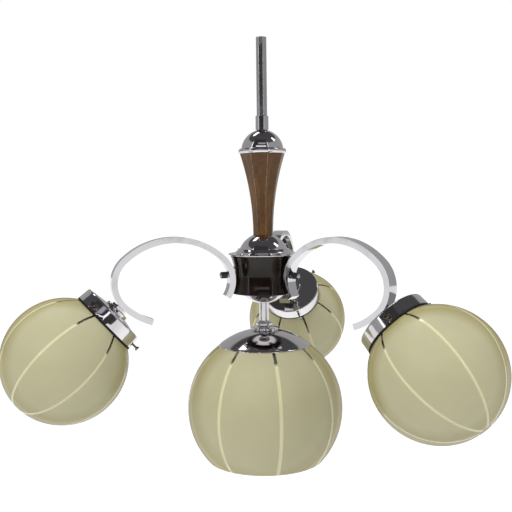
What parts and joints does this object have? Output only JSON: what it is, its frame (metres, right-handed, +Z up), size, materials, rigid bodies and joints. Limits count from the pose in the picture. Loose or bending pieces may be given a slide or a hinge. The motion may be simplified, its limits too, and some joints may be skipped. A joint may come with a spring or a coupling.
{
  "type": "chandelier",
  "caption": "Rod-hung chandelier with a faceted wooden stem, bent flat-bar arms carrying glass globes in tilted cups, and a large open-bottomed glass shade below the hub.",
  "frame": {"origin": "centre of the suspension tube's cut top end", "axes": "+Z up along the suspension tube; +Y along the back arm, the other arms at 120 degrees either side of it"},
  "size_m": [0.5812, 0.5235, 0.5315],
  "materials": {
    "chrome": "polished, slightly tarnished",
    "dark_metal": "gloss black",
    "steel": "plain zinc plate",
    "wood": "oiled",
    "globe_glass": "satin smoked olive",
    "shade_glass": "satin with clear stripes",
    "bakelite": "moulded",
    "ceramic": "unglazed",
    "cable": "plain",
    "felt": "felt"
  },
  "bodies": {
    "frame": {"suspension_tube": "chrome", "coupling_sleeve": "chrome", "central_pipe": "steel", "pipe_nuts": "steel", "top_dome": "chrome", "top_ring": "chrome", "baluster": "wood", "hub_dome": "chrome", "hub_collar": "chrome", "hub_plate": "chrome", "hub_drum": "dark_metal", "hub_core": "steel", "hub_bowl": "chrome", "lower_tube": "chrome", "shade_spool": "chrome", "shade_plate": "chrome", "centre_shade": "shade_glass", "shade_ring": "steel", "holder_shell_centre": "bakelite", "holder_socket_centre": "ceramic", "supply_cable": "cable", "centre_wire": "cable", "arm_studs": "steel", "stud_nuts": "dark_metal", "cup_nipples": "steel", "arm_nuts": "chrome", "cup_locknuts": "steel", "arm_back": "chrome", "arm_wire_back": "cable", "cup_boss_back": "chrome", "cup_back": "chrome", "globe_back": "globe_glass", "globe_gasket_back": "felt", "holder_shell_back": "bakelite", "holder_socket_back": "ceramic", "arm_left": "chrome", "arm_wire_left": "cable", "cup_boss_left": "chrome", "cup_left": "chrome", "globe_left": "globe_glass", "globe_gasket_left": "felt", "holder_shell_left": "bakelite", "holder_socket_left": "ceramic", "arm_right": "chrome", "arm_wire_right": "cable", "cup_boss_right": "chrome", "cup_right": "chrome", "globe_right": "globe_glass", "globe_gasket_right": "felt", "holder_shell_right": "bakelite", "holder_socket_right": "ceramic"},
    "thumb_screw_back_1": {"thumb_screw_back_1": "chrome"},
    "thumb_screw_back_2": {"thumb_screw_back_2": "chrome"},
    "thumb_screw_back_3": {"thumb_screw_back_3": "chrome"},
    "thumb_screw_left_1": {"thumb_screw_left_1": "chrome"},
    "thumb_screw_left_2": {"thumb_screw_left_2": "chrome"},
    "thumb_screw_left_3": {"thumb_screw_left_3": "chrome"},
    "thumb_screw_right_1": {"thumb_screw_right_1": "chrome"},
    "thumb_screw_right_2": {"thumb_screw_right_2": "chrome"},
    "thumb_screw_right_3": {"thumb_screw_right_3": "chrome"}
  },
  "joints": [
    {"name": "thumb_screw_back_1_travel", "type": "slide", "parent": "frame", "child": "thumb_screw_back_1", "axis": [-0.9903, 0.0931, 0.1034], "range_m": [0, 0.003]},
    {"name": "thumb_screw_back_2_travel", "type": "slide", "parent": "frame", "child": "thumb_screw_back_2", "axis": [0.6157, 0.5273, 0.5856], "range_m": [0, 0.003]},
    {"name": "thumb_screw_back_3_travel", "type": "slide", "parent": "frame", "child": "thumb_screw_back_3", "axis": [0.3746, -0.6204, -0.689], "range_m": [0, 0.003]},
    {"name": "thumb_screw_left_1_travel", "type": "slide", "parent": "frame", "child": "thumb_screw_left_1", "axis": [0.6575, 0.1791, -0.7319], "range_m": [0, 0.003]},
    {"name": "thumb_screw_left_2_travel", "type": "slide", "parent": "frame", "child": "thumb_screw_left_2", "axis": [0.0105, -0.8785, 0.4777], "range_m": [0, 0.003]},
    {"name": "thumb_screw_left_3_travel", "type": "slide", "parent": "frame", "child": "thumb_screw_left_3", "axis": [-0.668, 0.6994, 0.2542], "range_m": [0, 0.003]},
    {"name": "thumb_screw_right_1_travel", "type": "slide", "parent": "frame", "child": "thumb_screw_right_1", "axis": [-0.5617, 0.3646, -0.7427], "range_m": [0, 0.003]},
    {"name": "thumb_screw_right_2_travel", "type": "slide", "parent": "frame", "child": "thumb_screw_right_2", "axis": [0.7311, 0.5571, 0.3938], "range_m": [0, 0.003]},
    {"name": "thumb_screw_right_3_travel", "type": "slide", "parent": "frame", "child": "thumb_screw_right_3", "axis": [-0.1694, -0.9217, 0.3489], "range_m": [0, 0.003]}
  ]
}
